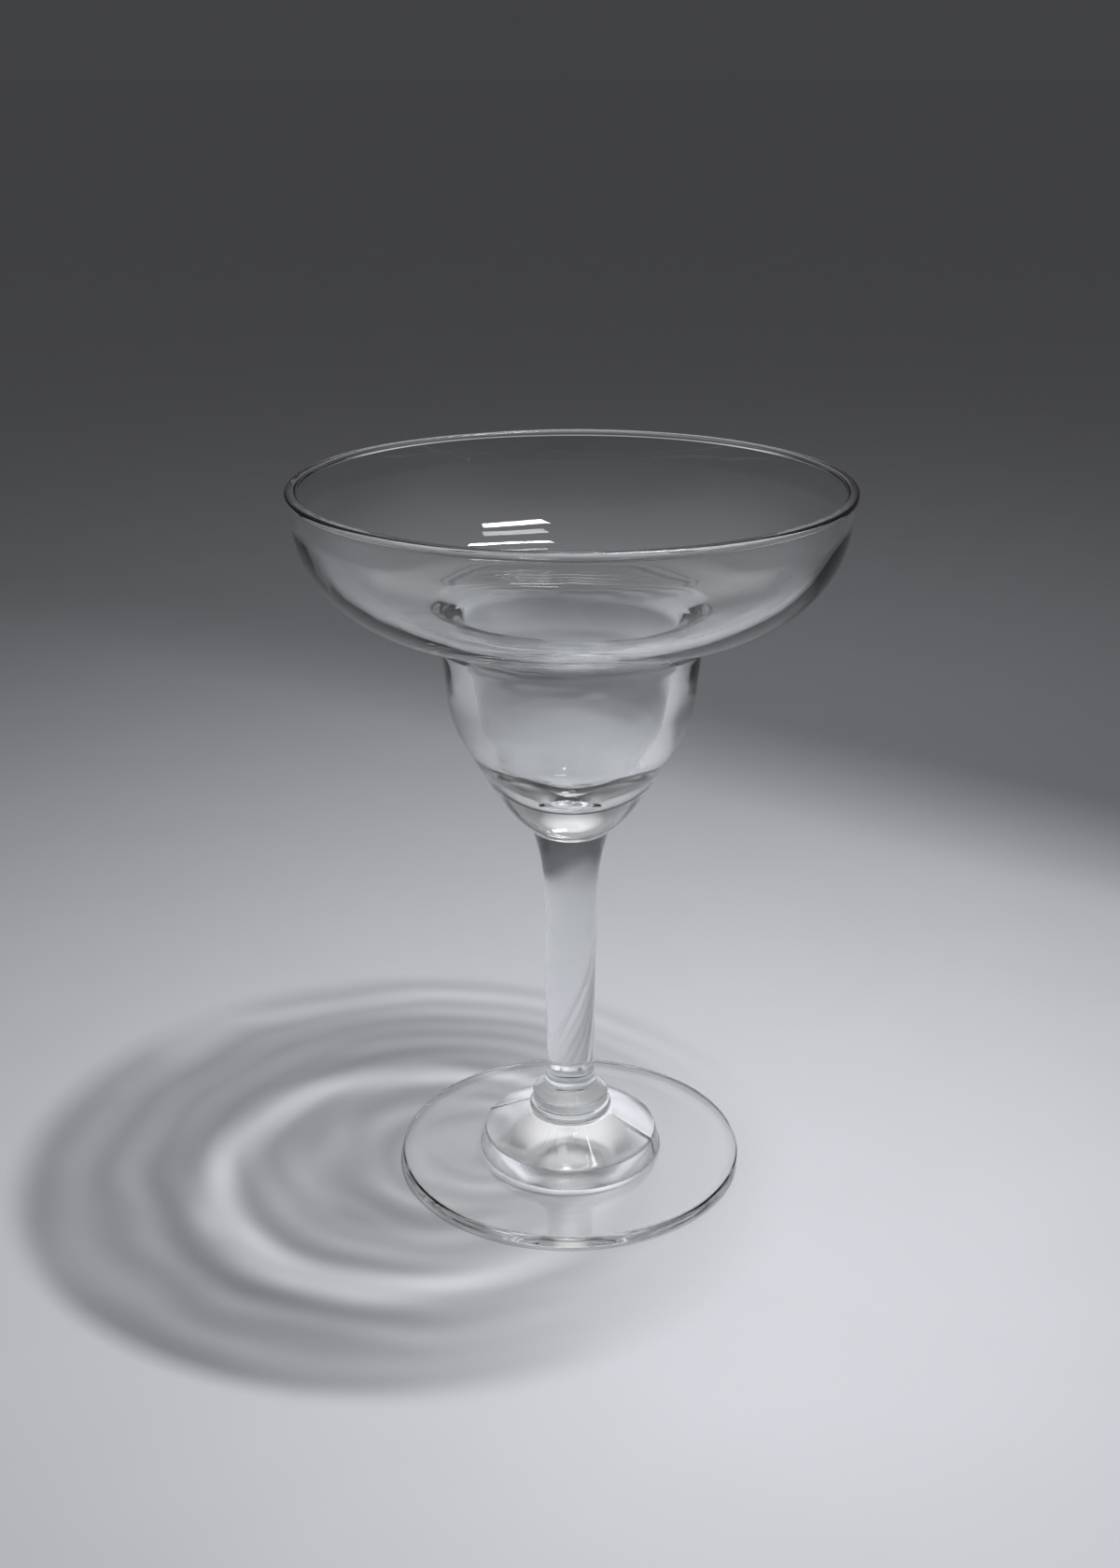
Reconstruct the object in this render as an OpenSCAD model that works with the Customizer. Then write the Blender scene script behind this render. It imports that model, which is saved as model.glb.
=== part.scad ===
// Stemmed cocktail glass: a wide saucer over a narrow cup, on a solid stem, two collars and a disc foot.
// Sizes in millimetres. The axis of the glass is Z and the table is at z = 0.

/* [Bowl] */

// Outside diameter across the rim
rim_d = 112; // [100:0.5:124]

// Height of the saucer, from where its floor meets the cup up to the rim
saucer_h = 30.2; // [27:0.2:36]

// Lean of the saucer's side from upright, in degrees
side_lean = 7.7; // [4:0.1:11]

// Slope of the saucer's floor from level, in degrees
floor_slope = 19; // [15:0.5:23]

// Outer radius of the turn between the saucer's side and floor
turn_r = 23; // [18:0.5:26]

// Thickness of the saucer's side
side_wall = 1.8; // [1.4:0.1:2.2]

// Thickness of the saucer's floor
floor_wall = 2.8; // [2.2:0.1:3.4]

// How far the rounded rim stands out from the side
rim_lip = 0.35; // [0.2:0.05:0.5]

// Height of the rounded rim
rim_h = 1.55; // [1.3:0.05:2]

// Outside diameter of the cup at its mouth
cup_d = 53.8; // [48:0.2:58]

// Height of the cup, from the stem up to the saucer's floor
cup_h = 43.2; // [41:0.2:48]

// Outside diameter of the cup at its shoulder
shoulder_d = 49.6; // [48:0.2:51.2]

// Height of the cup's shoulder above the stem
shoulder_h = 24.7; // [23:0.1:26.4]

// Outside diameter of the cup where its side turns in to the stem
heel_d = 26.8; // [25:0.2:28.6]

// Height of that turn above the stem
heel_h = 4.9; // [4.4:0.1:5.4]

// Thickness of the cup's side at its mouth
cup_wall = 4.2; // [3.6:0.1:4.8]

// Thickness of the cup's side at its shoulder
shoulder_wall = 5.7; // [5.2:0.1:6.2]

// Inside diameter of the cup where its side turns in to its bottom
well_d = 29.8; // [28.6:0.2:31]

// Solid glass under the inside of the cup
base_h = 9; // [8.4:0.1:9.6]

// How far the cup's inside rises from its level middle to that turn
base_rise = 7.9; // [7.2:0.1:8.6]

// Diameter of the level middle of the cup's inside
base_d = 11; // [10.4:0.2:12]

// Radius of the fillet between the saucer's floor and the cup, outside
ledge_r = 5.8; // [4:0.2:7]

/* [Stem] */

// Length of the stem, from collar to cup
stem_l = 60.7; // [46:0.1:76]

// Diameter of the stem where it is thinnest
stem_d = 10.26; // [9:0.02:11]

// Diameter of the stem where it starts to flare
stem_flare_d = 11.44; // [11.2:0.02:12.4]

// Height of the flare under the cup
stem_flare_h = 9; // [8.4:0.1:10]

// Diameter of the joint between stem and cup
stem_top_d = 16; // [15.2:0.1:16.8]

// Diameter of the ring round the foot of the stem
stem_ring_d = 11.5; // [11.2:0.05:12]

// Height of the ring round the foot of the stem
stem_ring_h = 1.9; // [1.6:0.1:2.4]

/* [Collars] */

// Diameter of the upper collar
upper_collar_d = 16.6; // [15:0.1:17.6]

// Height of the upper collar
upper_collar_h = 4.3; // [3.8:0.1:5]

// Height of the upper collar's upright edge
upper_edge_h = 2.6; // [2.2:0.1:3]

// Diameter of the lower collar
lower_collar_d = 18; // [17.6:0.1:20]

// Height of the lower collar
lower_collar_h = 2; // [1.8:0.1:2.6]

// Radius on the edges of both collars
collar_round = 0.75; // [0.4:0.05:0.85]

/* [Foot] */

// Diameter of the foot
foot_d = 74.8; // [64:0.2:86]

// Thickness of the foot's disc
disc_h = 3; // [2.4:0.1:4]

// Diameter of the boss in the middle of the foot
boss_d = 39.8; // [39:0.2:44]

// Height of the boss above the disc
boss_h = 9.1; // [8:0.1:11]

// Height of the boss's side above the disc
boss_side_h = 4.3; // [3.6:0.1:5]

// Diameter of the boss at its shoulder
boss_shoulder_d = 38; // [35:0.2:38.8]

// Radius on the boss's shoulder
boss_round = 0.8; // [0.4:0.1:1.4]

// Hollow of the underside at its middle
hollow_h = 1.4; // [1:0.1:2]

// Width of the flat ring that the foot rests on
rest_w = 4; // [3:0.1:6]

/* [Hidden] */

$fn = 96;

// Heights of the joints between the pieces, from the table up
foot_z = disc_h + boss_h;
lower_z = foot_z + lower_collar_h;
upper_z = lower_z + upper_collar_h;
joint_z = upper_z + stem_l;
ledge_z = joint_z + cup_h;
rim_z = ledge_z + saucer_h;

// Radii of the glass
rim_r = rim_d / 2;
side_r = rim_r - rim_lip;
rim_wall = side_wall + rim_lip;
cup_r = cup_d / 2;
joint_r = stem_top_d / 2;
seat_r = stem_ring_d / 2 - 0.3;
foot_r = foot_d / 2;
boss_r = boss_d / 2;
boss_top_r = lower_collar_d / 2;
edge_r = disc_h / 4;
rest_r = foot_r - edge_r - rest_w;

// Clear glass, shown with its faint tint
glass = [0.78, 0.86, 0.84, 0.55];

function unit(v) = v / norm(v);

// Where the line from point p at angle a crosses the line from point q at angle b
function crossing(p, a, q, b) =
    let (u = [cos(a), sin(a)], v = [cos(b), sin(b)], w = q - p)
    p + u * (w.x * v.y - w.y * v.x) / (u.x * v.y - u.y * v.x);

// The arc of radius r that rounds corner v between its neighbours p and q
function rounded(p, v, q, r, steps = 8) =
    let (
        a = unit(p - v),
        b = unit(q - v),
        half = acos(a * b) / 2,
        c = v + unit(a + b) * r / sin(half),
        s = v + a * r / tan(half) - c,
        e = v + b * r / tan(half) - c,
        from = atan2(s.y, s.x),
        turn = (atan2(e.y, e.x) - from + 540) % 360 - 180
    )
    [for (i = [0 : steps]) c + r * [cos(from + turn * i / steps), sin(from + turn * i / steps)]];

// An outline from corners [radius from axis, height, rounding], turned about the axis
module turned(corners) {
    last = len(corners) - 1;
    points = [for (i = [0 : last])
        let (
            c = corners[i],
            v = [c[0], c[1]],
            p = corners[i == 0 ? last : i - 1],
            q = corners[i == last ? 0 : i + 1]
        )
        each c[2] == 0 ? [v] : rounded([p[0], p[1]], v, [q[0], q[1]], c[2], c[2] > 10 ? 14 : 8)];
    rotate_extrude() polygon(points);
}

// Corners of the saucer, outside and inside
neck_z = rim_z - rim_h;
side_foot = crossing([side_r, neck_z], 90 - side_lean, [cup_r, ledge_z], floor_slope);
inner_foot = crossing([side_r - side_wall, neck_z], 90 - side_lean,
    [cup_r, ledge_z + floor_wall / cos(floor_slope)], floor_slope);
inner_ledge = [cup_r - cup_wall, ledge_z + floor_wall / cos(floor_slope) - cup_wall * tan(floor_slope)];

// The blown bowl: saucer, cup and rounded rim in one skin of glass, thick at the base of the cup
module bowl() {
    color(glass) turned([
        [0, joint_z, 0],
        [joint_r, joint_z, 0],
        [heel_d / 2, joint_z + heel_h, 30],
        [shoulder_d / 2, joint_z + shoulder_h, 22],
        [cup_r, ledge_z, ledge_r],
        [side_foot.x, side_foot.y, turn_r],
        [side_r, neck_z, 0.3],
        [rim_r, neck_z + rim_lip, 0.2],
        [rim_r, rim_z, 0.7],
        [rim_r - rim_wall, rim_z, 0.7],
        [inner_foot.x, inner_foot.y, turn_r - 2],
        [inner_ledge.x, inner_ledge.y, ledge_r + floor_wall],
        [shoulder_d / 2 - shoulder_wall, joint_z + shoulder_h, 20],
        [well_d / 2, joint_z + base_h + base_rise, 22],
        [base_d / 2, joint_z + base_h, 13],
        [0, joint_z + base_h, 0]]);
}

// The solid stem, flared under the cup and ringed at its foot
module stem() {
    ring = stem_ring_d / 2;
    color(glass) turned([
        [0, upper_z, 0],
        [seat_r, upper_z, 0],
        [ring, upper_z + 0.4, 0.3],
        [ring, upper_z + stem_ring_h * 0.7, 0.5],
        [stem_d / 2, upper_z + stem_ring_h + 1.2, 2.4],
        [stem_flare_d / 2, joint_z - stem_flare_h, 55],
        [joint_r, joint_z, 0],
        [0, joint_z, 0]]);
}

// The upper collar, domed towards the stem
module upper_collar() {
    r = upper_collar_d / 2;
    color(glass) turned([
        [0, lower_z, 0],
        [r, lower_z, collar_round],
        [r, lower_z + upper_edge_h, collar_round],
        [seat_r, upper_z, 0],
        [0, upper_z, 0]]);
}

// The lower collar, a rounded disc on the boss
module lower_collar() {
    r = lower_collar_d / 2;
    color(glass) turned([
        [0, foot_z, 0],
        [r, foot_z, collar_round],
        [r, lower_z, collar_round],
        [0, lower_z, 0]]);
}

// The pressed foot: a disc with a boss in its middle, hollow underneath and resting on a flat ring
module foot() {
    color(glass) turned([
        [0, hollow_h, 0],
        [rest_r, 0, 0],
        [foot_r, 0, edge_r],
        [foot_r, disc_h, edge_r],
        [boss_r, disc_h, 0.5],
        [boss_shoulder_d / 2, disc_h + boss_side_h, boss_round],
        [boss_top_r, foot_z, 0],
        [0, foot_z, 0]]);
}

bowl();
stem();
upper_collar();
lower_collar();
foot();
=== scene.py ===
"""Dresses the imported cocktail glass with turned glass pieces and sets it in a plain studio."""

import logging
import math
from dataclasses import dataclass, replace
from enum import Enum, IntEnum
from functools import cached_property

import bmesh
import bpy
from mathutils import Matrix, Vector


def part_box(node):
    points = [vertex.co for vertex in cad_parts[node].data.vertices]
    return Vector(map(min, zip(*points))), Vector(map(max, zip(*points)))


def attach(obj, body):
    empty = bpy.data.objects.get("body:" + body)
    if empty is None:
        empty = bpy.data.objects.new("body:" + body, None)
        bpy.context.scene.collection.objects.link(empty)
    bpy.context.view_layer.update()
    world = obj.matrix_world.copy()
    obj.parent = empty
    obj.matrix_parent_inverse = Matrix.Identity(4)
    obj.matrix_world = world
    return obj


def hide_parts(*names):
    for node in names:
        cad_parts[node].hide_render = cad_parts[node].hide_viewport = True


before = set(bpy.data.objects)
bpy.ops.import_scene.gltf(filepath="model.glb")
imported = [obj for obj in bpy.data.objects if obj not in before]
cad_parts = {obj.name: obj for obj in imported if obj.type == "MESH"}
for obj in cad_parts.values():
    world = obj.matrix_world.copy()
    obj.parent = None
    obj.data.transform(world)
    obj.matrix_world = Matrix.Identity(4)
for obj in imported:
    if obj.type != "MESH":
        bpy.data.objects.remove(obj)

LOG = logging.getLogger("glass")
Colour = tuple[float, float, float, float]

# A millimetre in metres
MM = 0.001

# Points this near, in metres, are one point
TOUCH = 1e-6

# An edge that turns more than this is a crease
SHARP = math.radians(28)

# Scale of a wave texture whose rings lie a metre apart
RING_SCALE = 0.314

# Noise scales of the glass: its tint, its smears, its slow flow and its fine grain
TINT_SCALE = 55.0
SMEAR_SCALE = 48.0
FLOW_SCALE = 90.0
GRAIN_SCALE = 420.0


class Slot(IntEnum):
    """Material slots of a turned piece."""

    SKIN = 0
    JOINT = 1
    UNDERSIDE = 2


class Band(Enum):
    """What a shade band of a glass finish is laid along."""

    RADIUS = "radius"
    HEIGHT = "height"


def grey(value: float, warm: float = 1.0, cool: float = 1.0) -> Colour:
    """An opaque grey, its red and blue scaled by warm and cool."""
    return (value * warm, value, value * cool, 1.0)


def smooth_step(low: float, high: float, value: float) -> float:
    """Rises smoothly from 0 at low to 1 at high."""
    share = min(max((value - low) / (high - low), 0.0), 1.0)
    return share * share * (3 - 2 * share)


def window(low: float, high: float, soft: float, value: float) -> float:
    """Is 1 from low to high and fades to 0 over soft on both sides."""
    return smooth_step(low - soft, low, value) * (1 - smooth_step(high, high + soft, value))


@dataclass(frozen=True)
class Corner:
    """A corner of an outline in millimetres; step spaces the points of the stretch that ends at it."""

    radius: float
    height: float
    rounding: float = 0.0
    step: float = 0.8

    @property
    def point(self) -> Vector:
        """The corner's place before it is rounded."""
        return Vector((self.radius, self.height))


@dataclass(frozen=True)
class Outline:
    """A half-section of a turned piece, from the axis round to the axis again."""

    corners: tuple[Corner, ...]

    def rounded(self, index: int) -> list[Vector]:
        """Rounds one corner.

        Args:
            index: Which corner.

        Returns:
            The points of its arc, or the corner itself where it is sharp.
        """
        corner = self.corners[index]
        place = corner.point
        if not corner.rounding:
            return [place]
        back = (self.corners[index - 1].point - place).normalized()
        ahead = (self.corners[index + 1].point - place).normalized()
        half = back.angle(ahead) / 2
        centre = place + (back + ahead).normalized() * corner.rounding / math.sin(half)
        start = place + back * corner.rounding / math.tan(half) - centre
        turn = start.angle_signed(place + ahead * corner.rounding / math.tan(half) - centre)
        count = max(6, math.ceil(abs(turn) * corner.rounding / (corner.step * 0.6)))
        first = math.atan2(start.y, start.x)
        angles = [first - turn * i / count for i in range(count + 1)]
        return [centre + Vector((math.cos(a), math.sin(a))) * corner.rounding for a in angles]

    def points(self) -> list[Vector]:
        """Samples the outline.

        Returns:
            Its points in millimetres, no further apart than each corner's step.
        """
        found: list[Vector] = []
        for index, corner in enumerate(self.corners):
            arc = self.rounded(index)
            if found:
                stretch = arc[0] - found[-1]
                count = math.ceil(stretch.length / corner.step)
                found += [found[-1] + stretch * i / count for i in range(1, count)]
            found += arc
        return found


@dataclass(frozen=True)
class Arc:
    """Part of a turn: its angle in degrees and how many steps it takes."""

    angle: float
    steps: int


@dataclass(frozen=True)
class Joint:
    """A flat disc where a piece is fused to the next: its height and radius in millimetres."""

    height: float
    radius: float


class NodeBench:
    """Makes and links the nodes of one node tree."""

    def __init__(self, tree: bpy.types.NodeTree) -> None:
        """Keeps the tree to work on."""
        self.tree = tree

    def add(self, kind: str, **values: object) -> bpy.types.Node:
        """Adds a node.

        Args:
            kind: The node's type, without its ShaderNode prefix.
            **values: Properties of the node to set.

        Returns:
            The new node.
        """
        node = self.tree.nodes.new("ShaderNode" + kind)
        for name, value in values.items():
            setattr(node, name, value)
        return node

    def link(self, source: bpy.types.NodeSocket, target: bpy.types.NodeSocket) -> None:
        """Links one socket to another."""
        self.tree.links.new(source, target)

    def ramp(self, stops: list[tuple[float, Colour]], source: bpy.types.NodeSocket) -> bpy.types.NodeSocket:
        """Adds a colour ramp.

        Args:
            stops: Its positions and colours.
            source: The value that drives it.

        Returns:
            Its colour output.
        """
        node = self.add("ValToRGB")
        elements = node.color_ramp.elements
        elements[0].position, elements[1].position = stops[0][0], stops[-1][0]
        elements[0].color, elements[1].color = stops[0][1], stops[-1][1]
        for position, colour in stops[1:-1]:
            elements.new(position).color = colour
        self.link(source, node.inputs["Fac"])
        return node.outputs["Color"]

    def maths(self, operation: str, *values: object) -> bpy.types.NodeSocket:
        """Adds a math node.

        Args:
            operation: What it works out.
            *values: Its inputs, numbers or sockets.

        Returns:
            Its value output.
        """
        node = self.add("Math", operation=operation)
        for socket, value in zip(node.inputs, values):
            if isinstance(value, (int, float)):
                socket.default_value = value
            else:
                self.link(value, socket)
        return node.outputs["Value"]

    def multiply(self, first: bpy.types.NodeSocket, second: bpy.types.NodeSocket) -> bpy.types.NodeSocket:
        """Multiplies two colours."""
        node = self.add("Mix", data_type="RGBA", blend_type="MULTIPLY")
        node.inputs["Factor"].default_value = 1.0
        self.link(first, node.inputs["A"])
        self.link(second, node.inputs["B"])
        return node.outputs["Result"]

    def noise(self, place: bpy.types.NodeSocket, scale: float, detail: float = 2.0) -> bpy.types.NodeSocket:
        """Adds a noise texture and returns its factor."""
        node = self.add("TexNoise")
        node.inputs["Scale"].default_value = scale
        node.inputs["Detail"].default_value = detail
        self.link(place, node.inputs["Vector"])
        return node.outputs["Fac"]


def surface_group() -> bpy.types.NodeTree:
    """Builds the effect that all the glass shares: uneven tint, handling smears and the flow of the skin.

    Returns:
        The node group, made on the first call.
    """
    name = "glass_surface"
    if name in bpy.data.node_groups:
        return bpy.data.node_groups[name]
    group = bpy.data.node_groups.new(name, "ShaderNodeTree")
    sockets = group.interface
    sockets.new_socket("Place", in_out="INPUT", socket_type="NodeSocketVector")
    sockets.new_socket("Pale", in_out="INPUT", socket_type="NodeSocketColor")
    sockets.new_socket("Deep", in_out="INPUT", socket_type="NodeSocketColor")
    sockets.new_socket("Smear", in_out="INPUT", socket_type="NodeSocketFloat")
    sockets.new_socket("Matte", in_out="INPUT", socket_type="NodeSocketFloat")
    sockets.new_socket("Grain", in_out="INPUT", socket_type="NodeSocketFloat")
    sockets.new_socket("Tint", in_out="OUTPUT", socket_type="NodeSocketColor")
    sockets.new_socket("Roughness", in_out="OUTPUT", socket_type="NodeSocketFloat")
    sockets.new_socket("Flow", in_out="OUTPUT", socket_type="NodeSocketFloat")
    bench = NodeBench(group)
    given = bench.tree.nodes.new("NodeGroupInput").outputs
    given_out = bench.tree.nodes.new("NodeGroupOutput").inputs
    place = given["Place"]
    tint = bench.add("Mix", data_type="RGBA")
    bench.link(bench.noise(place, TINT_SCALE), tint.inputs["Factor"])
    bench.link(given["Pale"], tint.inputs["A"])
    bench.link(given["Deep"], tint.inputs["B"])
    bench.link(tint.outputs["Result"], given_out["Tint"])
    patch = bench.add("MapRange", interpolation_type="SMOOTHSTEP")
    patch.inputs["From Min"].default_value = 0.5
    patch.inputs["From Max"].default_value = 0.72
    bench.link(bench.noise(place, SMEAR_SCALE, 5.0), patch.inputs["Value"])
    rough = bench.maths("MULTIPLY_ADD", patch.outputs["Result"], given["Smear"], given["Matte"])
    bench.link(rough, given_out["Roughness"])
    slow = bench.noise(place, FLOW_SCALE, 1.0)
    fine = bench.maths("MULTIPLY", bench.noise(place, GRAIN_SCALE, 1.0), given["Grain"])
    bench.link(bench.maths("ADD", slow, fine), given_out["Flow"])
    return group


@dataclass(frozen=True)
class GlassFinish:
    """Clear glass with a painted lamp shadow: painted shade and painted light along a band.

    Shade gives stops along the band, in millimetres, with the share of lamp light that a skin lets through;
    stops above 1 paint light brighter than the open floor.
    Where lines is above 0, painted fine lines break the bands up and the painted shadow clears along
    clear_way.
    """

    name: str
    pale: Colour
    deep: Colour
    smear: float
    grain: float
    flow: float
    band: Band
    # Shade, edge, lines, centre and the clear_ fields set the painted shadow of lamp light on the floor
    shade: tuple[tuple[float, float], ...]
    edge: float = 0.3
    index: float = 1.5
    lines: float = 0.0
    line_pitch: float = 7.0
    matte: float = 0.0
    centre: tuple[float, float] = (0.0, 0.0)
    wander: float = 3.0
    wander_scale: float = 70.0
    clear_way: tuple[float, float, float] = (0.99, -0.14, 0.0)
    clear_from: float = -20.0
    clear_to: float = 50.0
    clear_share: float = 0.85

    def material(self) -> bpy.types.Material:
        """Builds the material.

        Returns:
            Glass whose lamp shadow is painted along its bands and at its edges.
        """
        made = bpy.data.materials.new(self.name)
        made.use_nodes = True
        bench = NodeBench(made.node_tree)
        glass = made.node_tree.nodes["Principled BSDF"]
        glass.inputs["Transmission Weight"].default_value = 1.0
        glass.inputs["IOR"].default_value = self.index
        place = bench.add("TexCoord").outputs["Object"]
        surface = bench.add("Group", node_tree=surface_group())
        surface.inputs["Pale"].default_value = self.pale
        surface.inputs["Deep"].default_value = self.deep
        surface.inputs["Smear"].default_value = self.smear
        surface.inputs["Matte"].default_value = self.matte
        surface.inputs["Grain"].default_value = self.grain
        bench.link(place, surface.inputs["Place"])
        bench.link(surface.outputs["Tint"], glass.inputs["Base Color"])
        bench.link(surface.outputs["Roughness"], glass.inputs["Roughness"])
        bump = bench.add("Bump")
        bump.inputs["Distance"].default_value = self.flow * MM
        bench.link(surface.outputs["Flow"], bump.inputs["Height"])
        bench.link(bump.outputs["Normal"], glass.inputs["Normal"])
        self.paint_lamp_shadow(bench, place, glass)
        return made

    def paint_lamp_shadow(
        self, bench: NodeBench, place: bpy.types.NodeSocket, glass: bpy.types.Node
    ) -> None:
        """Lets a lamp's light through to the floor with painted shade and painted light along the band, and
        painted shade at edges.

        Args:
            bench: The material's nodes.
            place: Object coordinates.
            glass: The glass shader that other rays meet.
        """
        if self.band is Band.RADIUS:
            flat = bench.add("VectorMath", operation="MULTIPLY_ADD")
            flat.inputs[1].default_value = (1.0, 1.0, 0.0)
            flat.inputs[2].default_value = (-self.centre[0] * MM, -self.centre[1] * MM, 0.0)
            bench.link(place, flat.inputs[0])
            size = bench.add("VectorMath", operation="LENGTH")
            bench.link(flat.outputs["Vector"], size.inputs[0])
            along = size.outputs["Value"]
        else:
            split = bench.add("SeparateXYZ")
            bench.link(place, split.inputs[0])
            along = split.outputs["Z"]
        noise = bench.noise(place, self.wander_scale, 1.0)
        uneven = bench.maths("MULTIPLY_ADD", noise, self.wander * MM, -self.wander / 2 * MM)
        along = bench.maths("ADD", along, uneven)
        reach = self.shade[-1][0]
        share = bench.maths("MULTIPLY", along, 1.0 / (reach * MM))
        # Painted shade and painted light along the band; stops above 1 make the floor brighter than under no
        # glass
        stops = [(position / reach, grey(light)) for position, light in self.shade]
        rings = bench.ramp(stops, share)
        # Painted shade where the skin is seen edge-on from the lamp
        facing = bench.add("LayerWeight")
        facing.inputs["Blend"].default_value = 0.5
        turned = [(0.0, 1.0), (0.55, 0.97), (0.8, (1 + self.edge) / 2), (1.0, self.edge)]
        edges = bench.ramp([(at, grey(light)) for at, light in turned], facing.outputs["Facing"])
        light = bench.multiply(rings, edges)
        if self.lines:
            light = bench.multiply(light, self.painted_lines(bench, place))
            light = self.paint_shadow_lighter(bench, place, light)
        # Shadow rays pass the glass with the painted colour; all other rays meet the glass
        clear = bench.add("BsdfTransparent")
        bench.link(light, clear.inputs["Color"])
        blend = bench.add("MixShader")
        bench.link(bench.add("LightPath").outputs["Is Shadow Ray"], blend.inputs["Fac"])
        bench.link(glass.outputs["BSDF"], blend.inputs[1])
        bench.link(clear.outputs["BSDF"], blend.inputs[2])
        bench.link(blend.outputs["Shader"], bench.tree.nodes["Material Output"].inputs["Surface"])

    def painted_lines(self, bench: NodeBench, place: bpy.types.NodeSocket) -> bpy.types.NodeSocket:
        """Makes fine wavy lines of painted light and painted shade that break the rings up.

        Args:
            bench: The material's nodes.
            place: Object coordinates.

        Returns:
            A colour to multiply the rings by.
        """
        wave = bench.add("TexWave", wave_type="RINGS", rings_direction="Z")
        wave.inputs["Scale"].default_value = RING_SCALE / (self.line_pitch * MM)
        wave.inputs["Distortion"].default_value = 3.4
        wave.inputs["Detail"].default_value = 1.0
        wave.inputs["Detail Scale"].default_value = 0.8
        bench.link(place, wave.inputs["Vector"])
        dim, bright = 1 - self.lines, 1 + self.lines
        stops = [(0.0, dim), (0.7, (1 + dim) / 2), (0.9, bright), (1.0, bright)]
        return bench.ramp([(at, grey(light)) for at, light in stops], wave.outputs["Fac"])

    def paint_shadow_lighter(
        self, bench: NodeBench, place: bpy.types.NodeSocket, light: bpy.types.NodeSocket
    ) -> bpy.types.NodeSocket:
        """Paints the shadow lighter towards one side of the glass.

        Args:
            bench: The material's nodes.
            place: Object coordinates.
            light: The colour of the light let through.

        Returns:
            The colour, nearly white on the clear side.
        """
        side = bench.add("VectorMath", operation="DOT_PRODUCT")
        side.inputs[1].default_value = self.clear_way
        bench.link(place, side.inputs[0])
        share = bench.add("MapRange", interpolation_type="SMOOTHSTEP")
        share.inputs["From Min"].default_value = self.clear_from * MM
        share.inputs["From Max"].default_value = self.clear_to * MM
        share.inputs["To Max"].default_value = self.clear_share
        bench.link(side.outputs["Value"], share.inputs["Value"])
        faded = bench.add("Mix", data_type="RGBA")
        faded.inputs["B"].default_value = grey(0.99)
        bench.link(share.outputs["Result"], faded.inputs["Factor"])
        bench.link(light, faded.inputs["A"])
        return faded.outputs["Result"]


@dataclass(frozen=True)
class FusedFinish:
    """A face inside the glass, where two pieces are fused and nothing shows."""

    name: str = "fused_joint"

    def material(self) -> bpy.types.Material:
        """Builds the material, or gives the one made before."""
        if self.name in bpy.data.materials:
            return bpy.data.materials[self.name]
        made = bpy.data.materials.new(self.name)
        made.use_nodes = True
        made.node_tree.nodes["Principled BSDF"].inputs["Alpha"].default_value = 0.0
        return made


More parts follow.
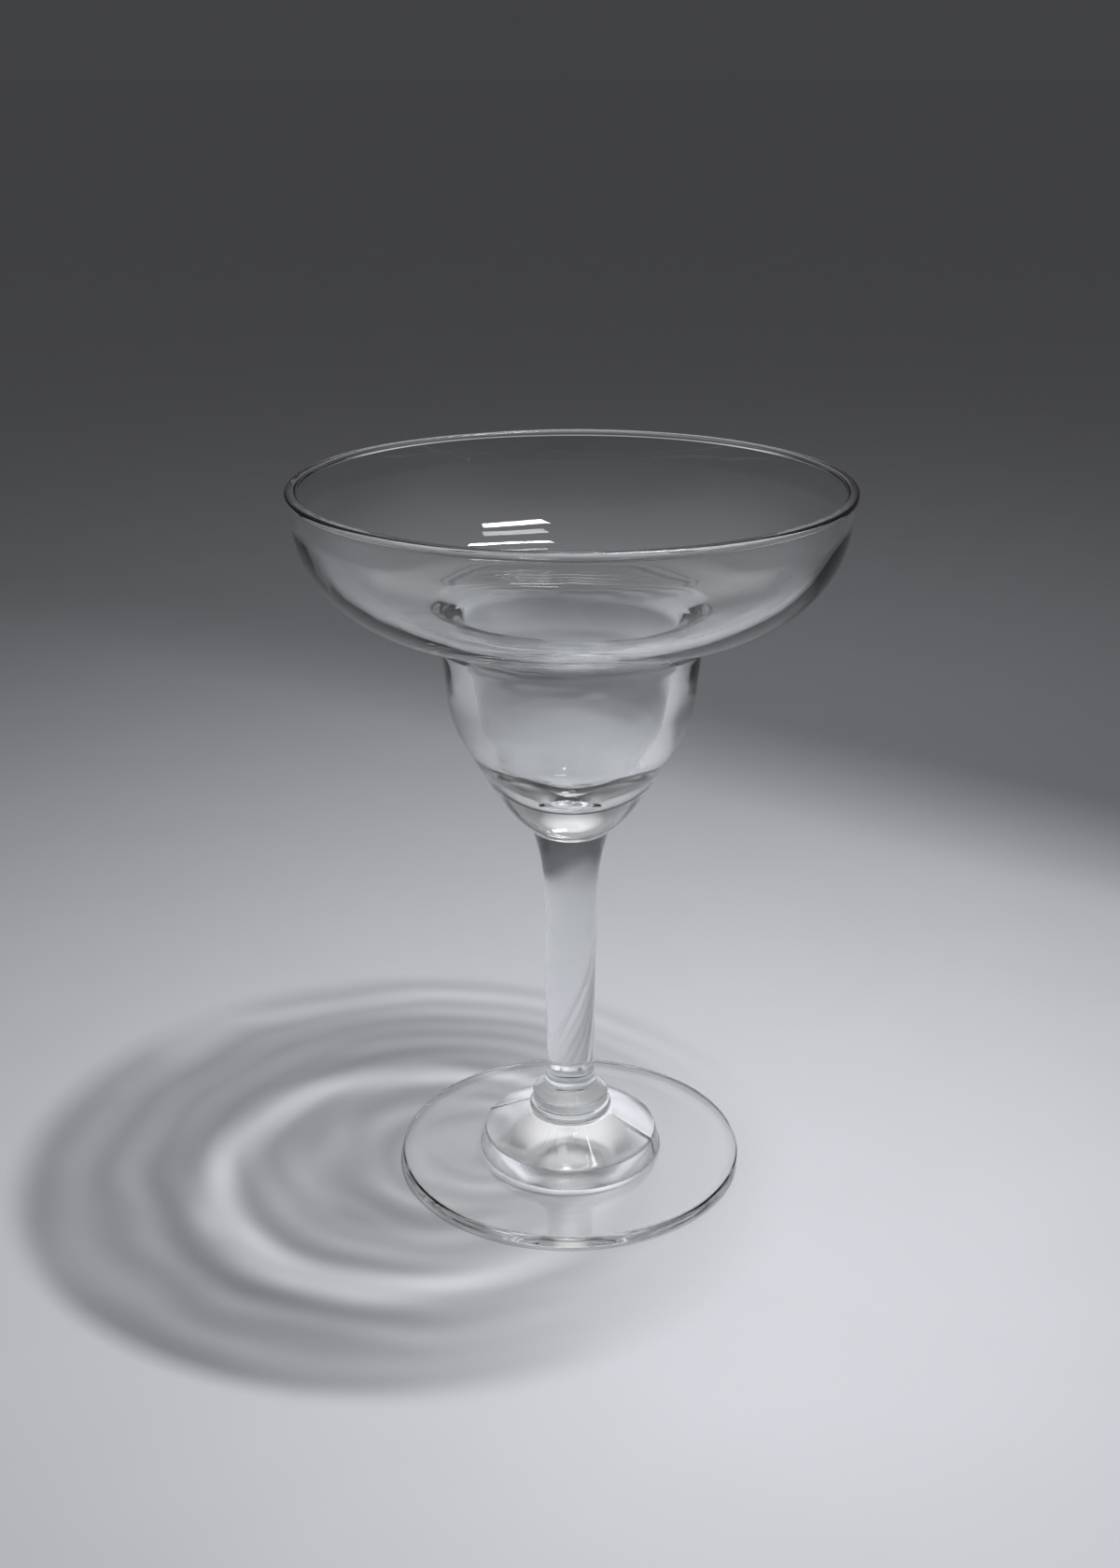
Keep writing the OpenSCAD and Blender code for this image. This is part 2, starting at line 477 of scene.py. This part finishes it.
@dataclass
class TurnedPiece:
    """A piece of glass turned from an outline about the axis, which stands for one CAD node."""

    node: str
    finish: GlassFinish
    turns: int = 256

    def outline(self) -> Outline:
        """The half-section of the piece."""
        raise NotImplementedError

    def joints(self) -> tuple[Joint, ...]:
        """The flat discs where it is fused to its neighbours."""
        raise NotImplementedError

    def arcs(self) -> tuple[Arc, ...]:
        """The parts of the turn that spins it."""
        return (Arc(360.0, self.turns),)

    def shift(self, radius: float, height: float, turn: float) -> tuple[float, float]:
        """How far the made glass departs from true.

        Args:
            radius: Distance of a point from the axis, in millimetres.
            height: Its height, in millimetres.
            turn: Its angle round the axis, in radians.

        Returns:
            The shift outwards along the skin and the shift upwards, in millimetres.
        """
        return 0.0, 0.0

    @cached_property
    def base_z(self) -> float:
        """Height of the node's underside, in millimetres."""
        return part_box(self.node)[0].z / MM

    @cached_property
    def top_z(self) -> float:
        """Height of the node's top, in millimetres."""
        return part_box(self.node)[1].z / MM

    def spun(self) -> bmesh.types.BMesh:
        """Spins the outline.

        Returns:
            A closed mesh in metres, its faces outwards.
        """
        mesh = bmesh.new()
        points = [mesh.verts.new((p.x * MM, 0.0, p.y * MM)) for p in self.outline().points()]
        lines = [mesh.edges.new(pair) for pair in zip(points, points[1:])]
        moving = points + lines
        for arc in self.arcs():
            spun = bmesh.ops.spin(
                mesh, geom=moving, cent=(0, 0, 0), axis=(0, 0, 1), angle=math.radians(arc.angle),
                steps=arc.steps, use_merge=arc.angle == 360.0, use_duplicate=False,
            )
            moving = spun["geom_last"]
        bmesh.ops.remove_doubles(mesh, verts=mesh.verts, dist=TOUCH)
        bmesh.ops.recalc_face_normals(mesh, faces=mesh.faces)
        return mesh

    def settle(self, mesh: bmesh.types.BMesh) -> None:
        """Moves the points of a true mesh to where the made glass has them."""
        mesh.normal_update()
        for point in mesh.verts:
            radius = math.hypot(point.co.x, point.co.y)
            turn = math.atan2(point.co.y, point.co.x)
            out, up = self.shift(radius / MM, point.co.z / MM, turn)
            if radius > TOUCH:
                point.co += point.normal * out * MM + Vector((0.0, 0.0, up * MM))

    def mark(self, mesh: bmesh.types.BMesh) -> None:
        """Smooths the skin, keeps creases sharp and gives the fused discs their own slot."""
        mesh.normal_update()
        joints = self.joints()
        for face in mesh.faces:
            face.smooth = True
            face.material_index = self.slot(face, joints)
        for edge in mesh.edges:
            edge.smooth = len(edge.link_faces) == 2 and edge.calc_face_angle() < SHARP

    def slot(self, face: bmesh.types.BMFace, joints: tuple[Joint, ...]) -> Slot:
        """Which material slot a face takes.

        Args:
            face: The face.
            joints: The fused discs of the piece.

        Returns:
            The joint slot on a fused disc, the skin elsewhere.
        """
        fused = any(
            all(
                abs(point.co.z - joint.height * MM) < TOUCH
                and math.hypot(point.co.x, point.co.y) < joint.radius * MM + TOUCH
                for point in face.verts
            )
            for joint in joints
        )
        return Slot.JOINT if fused else Slot.SKIN

    def finishes(self) -> list[bpy.types.Material]:
        """The materials of the slots, in order."""
        return [self.finish.material(), FusedFinish().material()]

    def build(self) -> bpy.types.Object:
        """Builds and dresses the piece and sets it in the frame.

        Returns:
            Its object.
        """
        mesh = self.spun()
        self.settle(mesh)
        self.mark(mesh)
        data = bpy.data.meshes.new(self.node + "_glass")
        mesh.to_mesh(data)
        mesh.free()
        for made in self.finishes():
            data.materials.append(made)
        piece = bpy.data.objects.new(self.node + "_glass", data)
        bpy.context.scene.collection.objects.link(piece)
        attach(piece, "root")
        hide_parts(self.node)
        LOG.info("%s: %d faces", piece.name, len(data.polygons))
        return piece


@dataclass
class Bowl(TurnedPiece):
    """The saucer, cup and rounded rim."""

    rim_d: float = 112.0
    saucer_h: float = 30.2
    side_lean: float = 7.7
    floor_slope: float = 19.0
    turn_r: float = 23.0
    side_wall: float = 1.8
    floor_wall: float = 2.8
    rim_lip: float = 0.35
    rim_h: float = 1.55
    cup_d: float = 53.8
    shoulder_d: float = 49.6
    shoulder_h: float = 24.7
    heel_d: float = 26.8
    heel_h: float = 4.9
    cup_wall: float = 4.2
    shoulder_wall: float = 5.7
    well_d: float = 29.8
    base_h: float = 9.0
    base_rise: float = 7.9
    base_d: float = 11.0
    ledge_r: float = 5.8
    joint_r: float = 8.0
    heel_r: float = 30.0
    shoulder_r: float = 22.0
    shoulder_in_r: float = 20.0
    well_r: float = 22.0
    base_r: float = 13.0
    neck_round: float = 0.3
    lip_round: float = 0.2
    rim_round: float = 0.7
    ripple_pitch: float = 1.15
    ripple_h: float = 0.055
    ripple_in: float = 27.0
    ripple_out: float = 33.0
    ripple_fade: float = 4.0
    rim_tilt: float = 0.08
    rim_wave: float = 0.03

    @staticmethod
    def crossing(place: Vector, angle: float, other: Vector, other_angle: float) -> Vector:
        """Where two lines cross.

        Args:
            place: A point of the first line.
            angle: Its direction in degrees.
            other: A point of the second line.
            other_angle: Its direction in degrees.

        Returns:
            The crossing point.
        """
        along = Vector((math.cos(math.radians(angle)), math.sin(math.radians(angle))))
        across = Vector((math.cos(math.radians(other_angle)), math.sin(math.radians(other_angle))))
        between = other - place
        spread = along.x * across.y - along.y * across.x
        return place + along * (between.x * across.y - between.y * across.x) / spread

    @cached_property
    def ledge_z(self) -> float:
        """Height where the saucer's floor meets the cup, outside."""
        return self.top_z - self.saucer_h

    def outline(self) -> Outline:
        """The section of the bowl: up the outside, over the rim and down the inside."""
        low, rim = self.base_z, self.top_z
        ledge, neck = self.ledge_z, rim - self.rim_h
        rim_r = self.rim_d / 2
        side_r, cup_r = rim_r - self.rim_lip, self.cup_d / 2
        upright = 90 - self.side_lean
        slope = math.radians(self.floor_slope)
        rise = self.floor_wall / math.cos(slope)
        ripple_end = self.ripple_out + self.ripple_fade
        foot = self.crossing(Vector((side_r, neck)), upright, Vector((cup_r, ledge)), self.floor_slope)
        inner_neck = Vector((side_r - self.side_wall, neck))
        inner_foot = self.crossing(inner_neck, upright, Vector((cup_r, ledge + rise)), self.floor_slope)
        inner_ledge = Vector((cup_r - self.cup_wall, ledge + rise - self.cup_wall * math.tan(slope)))
        return Outline((
            Corner(0.0, low, step=4.0),
            Corner(self.joint_r, low, step=4.0),
            Corner(self.heel_d / 2, low + self.heel_h, self.heel_r),
            Corner(self.shoulder_d / 2, low + self.shoulder_h, self.shoulder_r),
            Corner(cup_r, ledge, self.ledge_r, step=0.4),
            Corner(ripple_end, ledge + (ripple_end - cup_r) * math.tan(slope), step=0.3),
            Corner(foot.x, foot.y, self.turn_r),
            Corner(side_r, neck, self.neck_round),
            Corner(rim_r, neck + self.rim_lip, self.lip_round, step=0.2),
            Corner(rim_r, rim, self.rim_round, step=0.2),
            Corner(rim_r - self.side_wall - self.rim_lip, rim, self.rim_round, step=0.2),
            Corner(inner_foot.x, inner_foot.y, self.turn_r - 2),
            Corner(inner_ledge.x, inner_ledge.y, self.ledge_r + self.floor_wall, step=0.5),
            Corner(self.shoulder_d / 2 - self.shoulder_wall, low + self.shoulder_h, self.shoulder_in_r),
            Corner(self.well_d / 2, low + self.base_h + self.base_rise, self.well_r),
            Corner(self.base_d / 2, low + self.base_h, self.base_r),
            Corner(0.0, low + self.base_h),
        ))

    def joints(self) -> tuple[Joint, ...]:
        """The disc on the stem."""
        return (Joint(self.base_z, self.joint_r),)

    def shift(self, radius: float, height: float, turn: float) -> tuple[float, float]:
        """Slow waves, ripples under the saucer's floor at front and back, and a rim not quite level."""
        free = smooth_step(self.base_z + 0.5, self.base_z + 8.0, height)
        waves = 0.028 * math.sin(3 * turn + height / 9) + 0.02 * math.sin(5 * turn - height / 6 + 1.3)
        waves += 0.016 * math.sin(8 * turn + height / 4 + 0.4)
        under = self.ledge_z + (radius - self.cup_d / 2) * math.tan(math.radians(self.floor_slope))
        outside = 1 - smooth_step(0.8, 1.4, height - under)
        zone = window(self.ripple_in, self.ripple_out, self.ripple_fade, radius)
        zone *= window(self.ledge_z - 4, self.ledge_z + 8, 2.0, height)
        drift = 1.6 * math.sin(3 * turn + 0.5) + 0.9 * math.sin(7 * turn + 2.0) + 0.8 * math.sin(19 * turn)
        ripple = math.sin(turn) ** 2 * math.sin(2 * math.pi * radius / self.ripple_pitch + drift)
        near_rim = smooth_step(self.top_z - 9, self.top_z - 1, height)
        up = near_rim * (self.rim_tilt * math.sin(2 * turn + 0.7) + self.rim_wave * math.sin(5 * turn + 2.1))
        return free * waves + zone * outside * self.ripple_h * ripple, up


@dataclass
class Stem(TurnedPiece):
    """The solid stem, flared under the cup and ringed at its foot."""

    neck_d: float = 10.26
    flare_d: float = 11.44
    flare_h: float = 9.0
    top_d: float = 16.0
    ring_d: float = 11.5
    ring_h: float = 1.9
    ring_bevel_h: float = 0.4
    ring_bevel_w: float = 0.3
    ring_edge: float = 0.7
    ring_low_round: float = 0.3
    ring_top_round: float = 0.5
    neck_h: float = 1.2
    neck_r: float = 2.4
    flare_r: float = 55.0

    def seat_r(self) -> float:
        """Radius of the joint on the upper collar."""
        return self.ring_d / 2 - self.ring_bevel_w

    def outline(self) -> Outline:
        """The section of the stem, from the collar up."""
        low, top = self.base_z, self.top_z
        ring = self.ring_d / 2
        return Outline((
            Corner(0.0, low, step=4.0),
            Corner(self.seat_r(), low, step=4.0),
            Corner(ring, low + self.ring_bevel_h, self.ring_low_round, step=0.15),
            Corner(ring, low + self.ring_h * self.ring_edge, self.ring_top_round, step=0.15),
            Corner(self.neck_d / 2, low + self.ring_h + self.neck_h, self.neck_r, step=0.2),
            Corner(self.flare_d / 2, top - self.flare_h, self.flare_r),
            Corner(self.top_d / 2, top, step=0.5),
            Corner(0.0, top, step=4.0),
        ))

    def joints(self) -> tuple[Joint, ...]:
        """The discs on the upper collar and under the cup."""
        return Joint(self.base_z, self.seat_r()), Joint(self.top_z, self.top_d / 2)

    def shift(self, radius: float, height: float, turn: float) -> tuple[float, float]:
        """A stem that is drawn out by hand is not quite round."""
        free = window(self.base_z + 6, self.top_z - 8, 5.0, height)
        waves = 0.03 * math.sin(2 * turn + height / 15) + 0.012 * math.sin(3 * turn - height / 6)
        return free * waves, 0.0


@dataclass
class UpperCollar(TurnedPiece):
    """The upper collar, domed towards the stem."""

    outer_d: float = 16.6
    edge_h: float = 2.6
    seat_d: float = 10.9
    edge_r: float = 0.75

    def outline(self) -> Outline:
        """The section of the upper collar."""
        low, top, out = self.base_z, self.top_z, self.outer_d / 2
        return Outline((
            Corner(0.0, low, step=4.0),
            Corner(out, low, self.edge_r, step=0.2),
            Corner(out, low + self.edge_h, self.edge_r, step=0.2),
            Corner(self.seat_d / 2, top, step=0.4),
            Corner(0.0, top, step=4.0),
        ))

    def joints(self) -> tuple[Joint, ...]:
        """The discs on the lower collar and under the stem."""
        return Joint(self.base_z, self.outer_d / 2 - self.edge_r), Joint(self.top_z, self.seat_d / 2)


@dataclass
class LowerCollar(TurnedPiece):
    """The lower collar, a rounded disc on the boss."""

    outer_d: float = 18.0
    upper_seat_d: float = 15.1
    edge_r: float = 0.75

    def outline(self) -> Outline:
        """The section of the lower collar, with a point where the upper collar's joint ends."""
        low, top, out = self.base_z, self.top_z, self.outer_d / 2
        return Outline((
            Corner(0.0, low, step=4.0),
            Corner(out, low, self.edge_r, step=0.2),
            Corner(out, top, self.edge_r, step=0.2),
            Corner(self.upper_seat_d / 2, top),
            Corner(0.0, top, step=4.0),
        ))

    def joints(self) -> tuple[Joint, ...]:
        """The discs on the boss and under the upper collar."""
        return Joint(self.base_z, self.outer_d / 2 - self.edge_r), Joint(self.top_z, self.upper_seat_d / 2)


@dataclass
class Foot(TurnedPiece):
    """The pressed foot: a disc, and a boss with two seams where the mould closed."""

    outer_d: float = 74.8
    disc_h: float = 3.0
    boss_d: float = 39.8
    boss_side_h: float = 4.3
    shoulder_d: float = 38.0
    shoulder_r: float = 0.8
    hollow_h: float = 1.4
    rest_w: float = 4.0
    boss_top_d: float = 18.0
    collar_seat_d: float = 16.5
    boss_fillet: float = 0.5
    seam_turn: float = -20.0
    seam_arc: float = 4.0
    seam_h: float = 0.22
    seam_w: float = 0.36
    underside: GlassFinish | None = None

    def outline(self) -> Outline:
        """The section of the foot, from the hollow underneath round to the boss."""
        top, out, edge = self.top_z, self.outer_d / 2, self.disc_h / 4
        return Outline((
            Corner(0.0, self.hollow_h),
            Corner(out - edge - self.rest_w, 0.0),
            Corner(out, 0.0, edge, step=0.25),
            Corner(out, self.disc_h, edge, step=0.25),
            Corner(self.boss_d / 2, self.disc_h, self.boss_fillet, step=0.7),
            Corner(self.shoulder_d / 2, self.disc_h + self.boss_side_h, self.shoulder_r, step=0.2),
            Corner(self.boss_top_d / 2, top, step=0.5),
            Corner(self.collar_seat_d / 2, top),
            Corner(0.0, top, step=4.0),
        ))

    def joints(self) -> tuple[Joint, ...]:
        """The disc under the lower collar."""
        return (Joint(self.top_z, self.collar_seat_d / 2),)

    def slot(self, face: bmesh.types.BMFace, joints: tuple[Joint, ...]) -> Slot:
        """As other pieces, with a slot of its own for the satin patch under the boss."""
        centre = face.calc_center_median()
        if face.normal.z < -0.9 and math.hypot(centre.x, centre.y) < self.boss_d / 2 * MM:
            return Slot.UNDERSIDE
        return super().slot(face, joints)

    def finishes(self) -> list[bpy.types.Material]:
        """The skin, the fused disc and the underside."""
        return super().finishes() + [self.underside.material()]

    def arcs(self) -> tuple[Arc, ...]:
        """Coarse arcs, and fine ones across the two seams, which lie half a turn apart."""
        fine = Arc(self.seam_arc, 24)
        first = self.seam_turn % 180 - self.seam_arc / 2
        between = 180 - self.seam_arc
        return Arc(first, 100), fine, Arc(between, 112), fine, Arc(between - first, 12)

    def shift(self, radius: float, height: float, turn: float) -> tuple[float, float]:
        """Slow waves in the disc and a fine ridge along each seam of the boss."""
        waves = 0.012 * math.sin(3 * turn + radius / 5) + 0.008 * math.sin(7 * turn - radius / 3)
        top_side = smooth_step(1.5, 2.5, height) * window(21.0, 34.0, 1.5, radius)
        off = (turn - math.radians(self.seam_turn) + math.pi / 2) % math.pi - math.pi / 2
        across = radius * math.sin(off) / self.seam_w
        on_boss = window(self.boss_top_d / 2 + 0.6, self.boss_d / 2, 0.5, radius)
        on_boss *= smooth_step(self.disc_h + 0.1, self.disc_h + 0.6, height)
        return top_side * waves + on_boss * self.seam_h * math.exp(-across * across), 0.0


@dataclass(frozen=True)
class Lamp:
    """A flat lamp.

    Its place, its aim and its sides are in metres, its power is in watts and its spread in degrees.
    """

    name: str
    place: tuple[float, float, float]
    aim: tuple[float, float, float]
    width: float
    depth: float
    power: float
    spread: float = 180.0
    mirrored: bool = True
    lights: bool = True

    def hang(self) -> None:
        """Adds the lamp to the scene, its width level."""
        data = bpy.data.lights.new(self.name, "AREA")
        data.shape = "RECTANGLE"
        data.size, data.size_y = self.width, self.depth
        data.energy = self.power
        data.spread = math.radians(self.spread)
        lamp = bpy.data.objects.new(self.name, data)
        lamp.location = self.place
        lamp.rotation_mode = "QUATERNION"
        lamp.rotation_quaternion = (Vector(self.aim) - Vector(self.place)).to_track_quat("-Z", "Y")
        lamp.visible_camera = False
        lamp.visible_glossy = self.mirrored
        lamp.visible_transmission = self.mirrored
        lamp.visible_diffuse = self.lights
        bpy.context.scene.collection.objects.link(lamp)


@dataclass
class Studio:
    """The floor, lamps, surroundings and camera."""

    floor_r: float = 14.0
    floor_colour: Colour = (0.737, 0.75, 0.802, 1.0)
    floor_dull: float = 0.985
    floor_grain: float = 30.0
    flag_place: tuple[float, float, float] = (0.0917, 0.0539, 0.41)
    flag_turn: float = -35.5
    flag_size: tuple[float, float, float] = (0.0517, 0.0326, 1.0)
    dusk: float = 0.053
    glow: float = 0.42
    fill: float = 0.07
    front: float = 0.25
    bright: float = 0.6
    bright_way: tuple[float, float, float] = (0.0, 0.86, 0.51)
    lens: float = 43.49
    camera_place: tuple[float, float, float] = (-0.0023, -0.3676, 0.2325)
    camera_dip: float = 21.33

    def floor(self) -> None:
        """Lays the floor, pale and faintly uneven."""
        made = bpy.data.materials.new("studio_floor")
        made.use_nodes = True
        bench = NodeBench(made.node_tree)
        paint = made.node_tree.nodes["Principled BSDF"]
        paint.inputs["Roughness"].default_value = 0.65
        paint.inputs["Specular IOR Level"].default_value = 0.0
        place = bench.add("TexCoord").outputs["Object"]
        pale = self.floor_colour
        dull = tuple(self.floor_dull * value for value in pale[:3]) + (1.0,)
        mottle = bench.ramp([(0.35, dull), (0.65, pale)], bench.noise(place, self.floor_grain))
        bench.link(mottle, paint.inputs["Base Color"])
        mesh = bmesh.new()
        bmesh.ops.create_circle(mesh, cap_ends=True, radius=self.floor_r, segments=96)
        data = bpy.data.meshes.new("studio_floor")
        mesh.to_mesh(data)
        mesh.free()
        data.materials.append(made)
        floor = bpy.data.objects.new("studio_floor", data)
        floor.location.z = -0.1 * MM
        bpy.context.scene.collection.objects.link(floor)

    def lamps(self) -> None:
        """Hangs the key lamp, the strips that streak the saucer and the lamps at the sides of the floor."""
        rig = (
            Lamp(
                "key_lamp", (0.077, -0.002, 0.46), (0.025, -0.085, 0.0), width=0.02, depth=0.011, power=0.67,
                spread=117.0, mirrored=False,
            ),
            Lamp(
                "bar", (0.08, 0.032, 0.47), (0.075, 0.041, 0.0), width=0.1, depth=0.034, power=0.34,
                lights=False,
            ),
            Lamp("near_strip", (0.05, 0.215, 0.47), (0.048, 0.225, 0.0), width=0.07, depth=0.026, power=0.18),
            Lamp(
                "far_strip", (0.03, 0.31, 0.47), (0.03, 0.31001, 0.0), width=0.1, depth=0.008, power=0.1,
                mirrored=False,
            ),
            Lamp(
                "left_side", (-0.52, -0.05, 0.4), (-0.52, -0.04999, 0.0), width=0.1, depth=0.1, power=0.3,
                spread=90.0, mirrored=False,
            ),
            Lamp(
                "right_side", (0.56, -0.05, 0.4), (0.56, -0.04999, 0.0), width=0.1, depth=0.1, power=0.3,
                spread=90.0, mirrored=False,
            ),
        )
        for lamp in rig:
            lamp.hang()

    def flag(self) -> None:
        """Hangs a small card beside the key lamp that keeps its light off the floor at the back."""
        mesh = bmesh.new()
        bmesh.ops.create_grid(mesh, size=1.0)
        data = bpy.data.meshes.new("studio_flag")
        mesh.to_mesh(data)
        mesh.free()
        made = bpy.data.materials.new("studio_flag")
        made.use_nodes = True
        made.node_tree.nodes["Principled BSDF"].inputs["Base Color"].default_value = grey(0.02)
        data.materials.append(made)
        flag = bpy.data.objects.new("studio_flag", data)
        flag.location = self.flag_place
        flag.rotation_euler.z = math.radians(self.flag_turn)
        flag.scale = self.flag_size
        flag.visible_camera = False
        flag.visible_diffuse = False
        flag.visible_glossy = False
        flag.visible_transmission = False
        bpy.context.scene.collection.objects.link(flag)

    def surroundings(self) -> None:
        """Makes the room: dark at the horizon, paler above, and an even light on the floor.

        The glass also meets a dark side behind the camera and a bright patch before it.
        """
        room = bpy.data.worlds.new("room")
        room.use_nodes = True
        bpy.context.scene.world = room
        bench = NodeBench(room.node_tree)
        split = bench.add("SeparateXYZ")
        way = bench.add("TexCoord").outputs["Generated"]
        bench.link(way, split.inputs[0])
        low, high = grey(self.dusk, warm=0.983, cool=1.07), grey(self.glow, cool=1.03)
        middle = grey((self.dusk + self.glow) / 2, cool=1.03)
        sky = bench.ramp([(0.1, low), (0.42, middle), (0.75, high)], split.outputs["Z"])
        ahead = bench.maths("ADD", split.outputs["Y"], 0.75)
        front = bench.ramp([(0.0, grey(self.front)), (0.5, grey(1.0))], ahead)
        toward = bench.add("VectorMath", operation="DOT_PRODUCT")
        toward.inputs[1].default_value = Vector(self.bright_way).normalized()
        bench.link(way, toward.inputs[0])
        patch = bench.ramp([(0.94, grey(0.0)), (0.99, grey(self.bright))], toward.outputs["Value"])
        both = bench.add("Mix", data_type="RGBA", blend_type="ADD")
        both.inputs["Factor"].default_value = 1.0
        bench.link(bench.multiply(sky, front), both.inputs["A"])
        bench.link(patch, both.inputs["B"])
        path = bench.add("LightPath").outputs
        plain = bench.add("Mix", data_type="RGBA")
        bench.link(path["Is Camera Ray"], plain.inputs["Factor"])
        bench.link(both.outputs["Result"], plain.inputs["A"])
        bench.link(sky, plain.inputs["B"])
        seen = room.node_tree.nodes["Background"]
        bench.link(plain.outputs["Result"], seen.inputs["Color"])
        fill = bench.add("Background")
        fill.inputs["Color"].default_value = grey(self.fill)
        showing = bench.maths("MAXIMUM", path["Is Camera Ray"], path["Is Glossy Ray"])
        showing = bench.maths("MAXIMUM", showing, path["Is Transmission Ray"])
        blend = bench.add("MixShader")
        bench.link(showing, blend.inputs["Fac"])
        bench.link(fill.outputs["Background"], blend.inputs[1])
        bench.link(seen.outputs["Background"], blend.inputs[2])
        bench.link(blend.outputs["Shader"], room.node_tree.nodes["World Output"].inputs["Surface"])

    def camera(self) -> None:
        """Sets up the camera at the photograph's place."""
        data = bpy.data.cameras.new("camera")
        data.sensor_width = 36.0
        data.lens = self.lens
        data.clip_start = 0.01
        camera = bpy.data.objects.new("camera", data)
        camera.location = self.camera_place
        camera.rotation_euler = (math.radians(90 - self.camera_dip), 0.0, 0.0)
        bpy.context.scene.collection.objects.link(camera)
        bpy.context.scene.camera = camera

    def light_paths(self) -> None:
        """Lets light pass many layers of glass, and sets the plain view."""
        scene = bpy.context.scene
        scene.view_settings.view_transform = "Standard"
        cycles = scene.cycles
        cycles.max_bounces = 24
        cycles.transmission_bounces = 20
        cycles.glossy_bounces = 12
        cycles.transparent_max_bounces = 32
        cycles.caustics_refractive = False
        cycles.caustics_reflective = False
        cycles.use_denoising = True

    def build(self) -> None:
        """Builds the whole studio."""
        self.floor()
        self.lamps()
        self.flag()
        self.surroundings()
        self.camera()
        self.light_paths()
        LOG.info("studio: floor, lamps, surroundings and camera")


# Painted shadow of the bowl: rings of painted shade, a ring of painted light above 1 from 30 to 32.5 mm,
# painted fine lines, and the shadow painted lighter towards one side, all laid round a centre off the axis
BOWL_GLASS = GlassFinish(
    "bowl_glass", pale=(0.985, 0.99, 0.99, 1.0), deep=(0.955, 0.975, 0.968, 1.0),
    smear=0.02, grain=0.1, flow=0.02, band=Band.RADIUS,
    shade=(
        (0.0, 0.72), (10.0, 0.82), (16.0, 0.68), (21.0, 0.84), (24.0, 0.68), (27.5, 0.72), (30.0, 1.06),
        (32.5, 1.06), (34.5, 0.64), (37.5, 0.6), (42.0, 0.73), (47.0, 0.69), (51.0, 0.76), (54.0, 0.88),
        (58.0, 1.0),
    ),
    edge=0.8, lines=0.14, line_pitch=5.5, centre=(-4.0, -6.0),
)
# Painted shade: the stem's glass is tinted a little darker than the bowl's and the foot's
STEM_GLASS = GlassFinish(
    "stem_glass", pale=(0.945, 0.955, 0.953, 1.0), deep=(0.915, 0.935, 0.93, 1.0),
    smear=0.015, grain=0.08, flow=0.015, band=Band.HEIGHT, shade=((0.0, 0.85), (80.0, 0.85)),
)
# Painted shade: the collars' glass is tinted far darker than the rest of the glass, and their shade paints a
# darker shadow beneath them
SHADED_COLLAR_GLASS = GlassFinish(
    "collar_glass", pale=(0.74, 0.775, 0.765, 1.0), deep=(0.64, 0.69, 0.675, 1.0),
    smear=0.02, grain=0.15, flow=0.03, band=Band.HEIGHT, shade=((0.0, 0.6), (20.0, 0.6)),
)
# Painted light above 1 under the boss brightens the floor beneath it; painted shade at the boss's edge and at
# the rim. The underside takes the same painted shadow
FOOT_GLASS = GlassFinish(
    "foot_glass", pale=(0.995, 0.998, 0.997, 1.0), deep=(0.98, 0.988, 0.986, 1.0),
    smear=0.02, grain=0.1, flow=0.02, band=Band.RADIUS,
    shade=((0.0, 1.45), (17.0, 1.45), (19.0, 0.94), (21.0, 0.99), (35.0, 0.99), (37.4, 0.85)),
)
UNDERSIDE_GLASS = replace(FOOT_GLASS, name="foot_underside", matte=0.16)


def main() -> None:
    """Builds the glass from the rim down, then the studio."""
    logging.basicConfig(level=logging.INFO)
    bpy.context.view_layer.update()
    Bowl("bowl", BOWL_GLASS, turns=224).build()
    Stem("stem", STEM_GLASS, turns=128).build()
    UpperCollar("upper_collar", SHADED_COLLAR_GLASS, turns=160).build()
    LowerCollar("lower_collar", SHADED_COLLAR_GLASS, turns=160).build()
    Foot("foot", FOOT_GLASS, underside=UNDERSIDE_GLASS).build()
    Studio().build()


if __name__ == "__main__":
    main()
